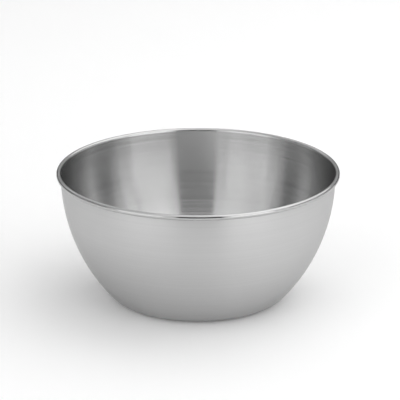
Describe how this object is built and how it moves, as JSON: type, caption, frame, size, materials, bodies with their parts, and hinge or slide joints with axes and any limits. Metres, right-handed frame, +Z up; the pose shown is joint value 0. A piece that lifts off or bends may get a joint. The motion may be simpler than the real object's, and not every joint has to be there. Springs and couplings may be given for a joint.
{
  "type": "salad bowl",
  "caption": "Round deep-drawn stainless steel salad bowl with a flat base, a curved wall and an edge rolled outward around a wire.",
  "frame": {"origin": "on the table under the middle of the bowl", "axes": "+Z up along the bowl's axis, -Y towards the viewer of the picture"},
  "size_m": [0.24, 0.24, 0.111],
  "materials": {
    "satin_steel": "satin stainless steel brushed around the bowl's axis, polished on the rolled edge",
    "wire_steel": "bright drawn steel wire"
  },
  "bodies": {
    "root": {"bowl_shell": "satin_steel", "rim_wire": "wire_steel"}
  },
  "joints": []
}
